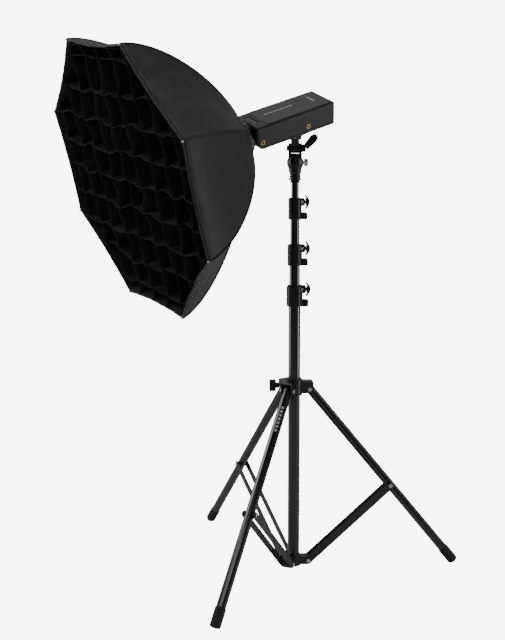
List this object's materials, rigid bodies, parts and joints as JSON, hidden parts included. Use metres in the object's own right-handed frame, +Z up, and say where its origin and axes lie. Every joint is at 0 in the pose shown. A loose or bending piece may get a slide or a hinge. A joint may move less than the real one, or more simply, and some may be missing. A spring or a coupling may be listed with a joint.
{
  "type": "studio softbox on light stand",
  "caption": "Octagonal softbox with an egg-crate grid on a battery flash head, held by a tilt bracket on a telescoping light stand with folding braced legs.",
  "frame": {"origin": "Centre of the bounding box footprint, at floor level under the feet.", "axes": "+Z up along the stand column; the softbox faces -Y and leans a little down and its axis runs back and up toward +Y; +X is to the right of someone looking along +Y."},
  "size_m": [0.6382, 0.7748, 1.0699],
  "materials": {
    "tube_black": "gloss",
    "plastic_black": "satin",
    "collar_black": "satin",
    "foot_rubber": "matte",
    "bolt_steel": "satin",
    "insert_brass": "satin",
    "flash_grey": "satin",
    "flash_black": "satin",
    "control_grey": "satin",
    "ring_metal": "satin",
    "softbox_cloth": "satin",
    "grid_cloth": "matte",
    "diffuser_cloth": "matte",
    "rod_fibre": "satin",
    "lamp_glass": "gloss"
  },
  "bodies": {
    "stand_base": {"tube_1": "tube_black", "lower_hub": "collar_black", "clamp_1": "plastic_black"},
    "leg_collar": {"leg_collar": "collar_black", "leg_bolt_1": "bolt_steel", "leg_bolt_2": "bolt_steel", "leg_bolt_3": "bolt_steel"},
    "leg_collar_knob": {"leg_collar_knob": "plastic_black"},
    "leg_1": {"leg_tube_1": "tube_black", "leg_foot_1": "foot_rubber"},
    "leg_2": {"leg_tube_2": "tube_black", "leg_foot_2": "foot_rubber"},
    "leg_3": {"leg_tube_3": "tube_black", "leg_foot_3": "foot_rubber"},
    "brace_1": {"brace_1": "plastic_black"},
    "brace_2": {"brace_2": "plastic_black"},
    "brace_3": {"brace_3": "plastic_black"},
    "stage_2": {"tube_2": "tube_black", "clamp_2": "plastic_black"},
    "stage_3": {"tube_3": "tube_black", "clamp_3": "plastic_black"},
    "stage_4": {"tube_4": "tube_black", "spigot": "bolt_steel"},
    "clamp_knob_1": {"clamp_knob_1": "plastic_black"},
    "clamp_knob_2": {"clamp_knob_2": "plastic_black"},
    "clamp_knob_3": {"clamp_knob_3": "plastic_black"},
    "head_socket": {"head_socket": "plastic_black"},
    "socket_knob": {"socket_knob": "bolt_steel"},
    "tilt_block": {"tilt_block": "plastic_black"},
    "tilt_lever": {"tilt_lever": "plastic_black"},
    "mount_screw": {"mount_screw": "bolt_steel"},
    "flash": {"flash_casing": "flash_black", "flash_top_cover": "flash_grey", "thread_insert_1": "insert_brass", "thread_insert_2": "insert_brass", "control_panel": "flash_black", "adaptor_ring": "ring_metal", "lamp_head": "flash_black", "lamp_glass": "lamp_glass", "flash_tube": "lamp_glass"},
    "battery_pack": {"battery_pack": "flash_black"},
    "battery_latch": {"battery_latch": "control_grey"},
    "head_release": {"head_release": "control_grey"},
    "control_dial": {"control_dial": "control_grey"},
    "power_button": {"power_button": "control_grey"},
    "test_button": {"test_button": "control_grey"},
    "softbox": {"speed_ring": "ring_metal", "rod_1": "rod_fibre", "rod_2": "rod_fibre", "rod_3": "rod_fibre", "rod_4": "rod_fibre", "rod_5": "rod_fibre", "rod_6": "rod_fibre", "rod_7": "rod_fibre", "rod_8": "rod_fibre", "softbox_shell": "softbox_cloth", "inner_baffle": "diffuser_cloth", "front_diffuser": "diffuser_cloth", "grid": "grid_cloth"}
  },
  "joints": [
    {"name": "collar_slide", "type": "slide", "parent": "stand_base", "child": "leg_collar", "axis": [0, 0, 1], "range_m": [0, 0.13775]},
    {"name": "leg_collar_knob_turn", "type": "hinge", "parent": "leg_collar", "child": "leg_collar_knob", "pos_m": [0.03377, 0.07625, 0.3935], "axis": [-0.4802, -0.8771, 0], "continuous": true},
    {"name": "leg_fold_1", "type": "hinge", "parent": "leg_collar", "child": "leg_1", "pos_m": [0.0489, 0.10388, 0.3868], "axis": [-0.8771, 0.4802, 0], "range_deg": [0, 39.43]},
    {"name": "leg_fold_2", "type": "hinge", "parent": "leg_collar", "child": "leg_2", "pos_m": [0.00228, 0.07554, 0.3868], "axis": [0.0227, -0.9997, 0], "range_deg": [0, 39.43]},
    {"name": "leg_fold_3", "type": "hinge", "parent": "leg_collar", "child": "leg_3", "pos_m": [0.05014, 0.04933, 0.3868], "axis": [0.8545, 0.5195, 0], "range_deg": [0, 39.43]},
    {"name": "brace_fold_1", "type": "hinge", "parent": "stand_base", "child": "brace_1", "pos_m": [0.04842, 0.103, 0.015], "axis": [0.8771, -0.4802, 0], "range_deg": [0, 47.22]},
    {"name": "brace_fold_2", "type": "hinge", "parent": "stand_base", "child": "brace_2", "pos_m": [0.00328, 0.07556, 0.015], "axis": [-0.0227, 0.9997, 0], "range_deg": [0, 47.22]},
    {"name": "brace_fold_3", "type": "hinge", "parent": "stand_base", "child": "brace_3", "pos_m": [0.04962, 0.05019, 0.015], "axis": [-0.8545, -0.5195, 0], "range_deg": [0, 47.22]},
    {"name": "stage_2_slide", "type": "slide", "parent": "stand_base", "child": "stage_2", "axis": [0, 0, 1], "range_m": [-0.03, 0.36]},
    {"name": "stage_3_slide", "type": "slide", "parent": "stage_2", "child": "stage_3", "axis": [0, 0, 1], "range_m": [-0.035, 0.36]},
    {"name": "stage_4_slide", "type": "slide", "parent": "stage_3", "child": "stage_4", "axis": [0, 0, 1], "range_m": [-0.02, 0.36]},
    {"name": "clamp_knob_1_turn", "type": "hinge", "parent": "stand_base", "child": "clamp_knob_1", "pos_m": [0.03377, 0.07625, 0.5945], "axis": [0.5592, 0.829, 0], "continuous": true},
    {"name": "clamp_knob_2_turn", "type": "hinge", "parent": "stage_2", "child": "clamp_knob_2", "pos_m": [0.03377, 0.07625, 0.6785], "axis": [0.5592, 0.829, 0], "continuous": true},
    {"name": "clamp_knob_3_turn", "type": "hinge", "parent": "stage_3", "child": "clamp_knob_3", "pos_m": [0.03377, 0.07625, 0.7725], "axis": [0.5592, 0.829, 0], "continuous": true},
    {"name": "head_pan", "type": "hinge", "parent": "stage_4", "child": "head_socket", "pos_m": [0.03377, 0.07625, 0.83], "axis": [0, 0, 1], "continuous": true},
    {"name": "socket_knob_turn", "type": "hinge", "parent": "head_socket", "child": "socket_knob", "pos_m": [0.03377, 0.07625, 0.8515], "axis": [0.5971, 0.8022, 0], "continuous": true},
    {"name": "head_tilt", "type": "hinge", "parent": "head_socket", "child": "tilt_block", "pos_m": [0.03377, 0.07625, 0.88], "axis": [0.5971, 0.8022, 0], "range_deg": [-75, 30]},
    {"name": "tilt_lever_turn", "type": "hinge", "parent": "head_socket", "child": "tilt_lever", "pos_m": [0.03377, 0.07625, 0.88], "axis": [0.5971, 0.8022, 0], "range_deg": [-70, 70]},
    {"name": "mount_screw_turn", "type": "hinge", "parent": "tilt_block", "child": "mount_screw", "pos_m": [0.03377, 0.07625, 0.88], "axis": [0.3746, -0.2788, 0.8843], "continuous": true},
    {"name": "flash_turn", "type": "hinge", "parent": "tilt_block", "child": "flash", "pos_m": [0.03377, 0.07625, 0.88], "axis": [0.3746, -0.2788, 0.8843], "continuous": true},
    {"name": "battery_slide", "type": "slide", "parent": "flash", "child": "battery_pack", "axis": [0, 0.9537, 0.3007], "range_m": [0, 0.06]},
    {"name": "battery_latch_slide", "type": "slide", "parent": "flash", "child": "battery_latch", "axis": [0.9272, 0.1126, -0.3573], "range_m": [0, 0.0012]},
    {"name": "head_release_slide", "type": "slide", "parent": "flash", "child": "head_release", "axis": [0, 0.9537, 0.3007], "range_m": [0, 0.0024]},
    {"name": "dial_turn", "type": "hinge", "parent": "flash", "child": "control_dial", "pos_m": [0.02416, 0.01547, 0.94042], "axis": [0.9272, 0.1126, -0.3573], "continuous": true},
    {"name": "power_button_press", "type": "slide", "parent": "flash", "child": "power_button", "axis": [0.9272, 0.1126, -0.3573], "range_m": [0, 0.0018], "stiffness_N_per_m": 50},
    {"name": "test_button_press", "type": "slide", "parent": "flash", "child": "test_button", "axis": [0.9272, 0.1126, -0.3573], "range_m": [0, 0.0018], "stiffness_N_per_m": 50},
    {"name": "softbox_turn", "type": "hinge", "parent": "flash", "child": "softbox", "pos_m": [0.05658, 0.06325, 0.9352], "axis": [0, 0.9537, 0.3007], "continuous": true}
  ],
  "couplings": [
    {"joint": "leg_fold_1", "follows": "collar_slide", "rad_per_m": 4.9892},
    {"joint": "brace_fold_1", "follows": "collar_slide", "rad_per_m": 5.976},
    {"joint": "leg_fold_2", "follows": "collar_slide", "rad_per_m": 4.9892},
    {"joint": "brace_fold_2", "follows": "collar_slide", "rad_per_m": 5.976},
    {"joint": "leg_fold_3", "follows": "collar_slide", "rad_per_m": 4.9892},
    {"joint": "brace_fold_3", "follows": "collar_slide", "rad_per_m": 5.976}
  ]
}
